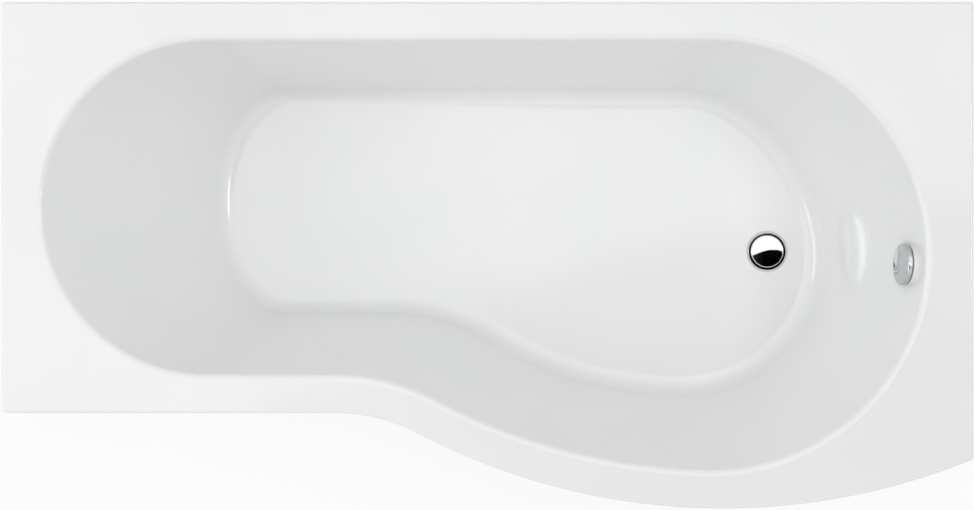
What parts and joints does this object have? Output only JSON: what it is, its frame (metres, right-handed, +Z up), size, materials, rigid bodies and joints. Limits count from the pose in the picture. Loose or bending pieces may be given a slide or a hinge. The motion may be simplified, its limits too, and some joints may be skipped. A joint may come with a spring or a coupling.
{
  "type": "shower bath",
  "caption": "P shaped acrylic bath with a bulged showering end, pop-up plug worked by a turning overflow knob, timber-stiffened rim, steel cradle and levelling feet.",
  "frame": {"origin": "on the floor that the bath stands on, below the middle of the rim's length and width", "axes": "+X along the bath towards the wide showering end, +Y towards the wall, +Z up"},
  "size_m": [1.65, 0.8597, 0.545],
  "materials": {
    "acrylic": "vacuum formed white acrylic, polished, with a glass fibre back",
    "board": "sealed chipboard",
    "timber": "sawn softwood",
    "zinc": "zinc plated steel",
    "gold_zinc": "yellow passivated zinc plated steel",
    "foot_plastic": "moulded black nylon",
    "fitting_plastic": "moulded white polypropylene",
    "housing_plastic": "moulded black acetal",
    "sleeve_plastic": "moulded grey ABS",
    "hose_plastic": "ribbed white polypropylene hose",
    "cable_sheath": "black PVC sheath",
    "chrome": "polished chrome plate",
    "brass": "turned brass",
    "seal_rubber": "moulded black rubber"
  },
  "bodies": {
    "root": {"bath_shell": "acrylic", "baseboard": "board", "back_batten": "timber", "head_batten": "timber", "foot_batten": "timber", "front_batten": "timber", "bulge_batten": "timber", "head_rail": "zinc", "foot_rail": "zinc", "centre_plate": "zinc", "rail_nuts": "zinc", "rail_screws": "gold_zinc", "plate_screws": "gold_zinc", "head_wall_bracket": "zinc", "foot_wall_bracket": "zinc", "bracket_screws": "gold_zinc", "waste_flange": "chrome", "waste_upper_gasket": "seal_rubber", "waste_lower_gasket": "seal_rubber", "waste_body": "fitting_plastic", "lever_housing": "housing_plastic", "overflow_gasket": "seal_rubber", "overflow_body": "fitting_plastic", "overflow_sleeve": "sleeve_plastic", "spindle_housing": "housing_plastic", "overflow_hose": "hose_plastic", "upper_hose_nut": "fitting_plastic", "lower_hose_nut": "fitting_plastic", "control_cable": "cable_sheath"},
    "knob": {"overflow_knob": "chrome", "knob_spindle": "brass"},
    "plug": {"plug_cap": "chrome", "plug_seal": "seal_rubber", "plug_stem": "brass"},
    "lever": {"lift_lever": "brass"},
    "head_wall_leg": {"head_wall_stud": "zinc", "head_wall_foot": "foot_plastic"},
    "head_front_leg": {"head_front_stud": "zinc", "head_front_foot": "foot_plastic"},
    "foot_wall_leg": {"foot_wall_stud": "zinc", "foot_wall_foot": "foot_plastic"},
    "foot_front_leg": {"foot_front_stud": "zinc", "foot_front_foot": "foot_plastic"},
    "centre_leg": {"centre_stud": "zinc", "centre_foot": "foot_plastic"}
  },
  "joints": [
    {"name": "knob_turn", "type": "hinge", "parent": "root", "child": "knob", "pos_m": [0.72131, -0.01623, 0.48594], "axis": [-0.977, 0.0466, 0.2079], "range_deg": [0, 110]},
    {"name": "plug_lift", "type": "slide", "parent": "root", "child": "plug", "axis": [0, 0, 1], "range_m": [0, 0.0096]},
    {"name": "lever_tilt", "type": "hinge", "parent": "root", "child": "lever", "pos_m": [0.50677, 0.007, 0.11545], "axis": [0, -1, 0], "range_deg": [0, 37.5]},
    {"name": "head_wall_leg_height", "type": "slide", "parent": "root", "child": "head_wall_leg", "axis": [0, 0, 1], "range_m": [-0.025, 0.01]},
    {"name": "head_front_leg_height", "type": "slide", "parent": "root", "child": "head_front_leg", "axis": [0, 0, 1], "range_m": [-0.025, 0.01]},
    {"name": "foot_wall_leg_height", "type": "slide", "parent": "root", "child": "foot_wall_leg", "axis": [0, 0, 1], "range_m": [-0.025, 0.01]},
    {"name": "foot_front_leg_height", "type": "slide", "parent": "root", "child": "foot_front_leg", "axis": [0, 0, 1], "range_m": [-0.025, 0.01]},
    {"name": "centre_leg_height", "type": "slide", "parent": "root", "child": "centre_leg", "axis": [0, 0, 1], "range_m": [-0.025, 0.01]}
  ],
  "couplings": [
    {"joint": "plug_lift", "follows": "knob_turn", "m_per_rad": 0.0049483},
    {"joint": "lever_tilt", "follows": "knob_turn", "ratio": 0.33566}
  ]
}
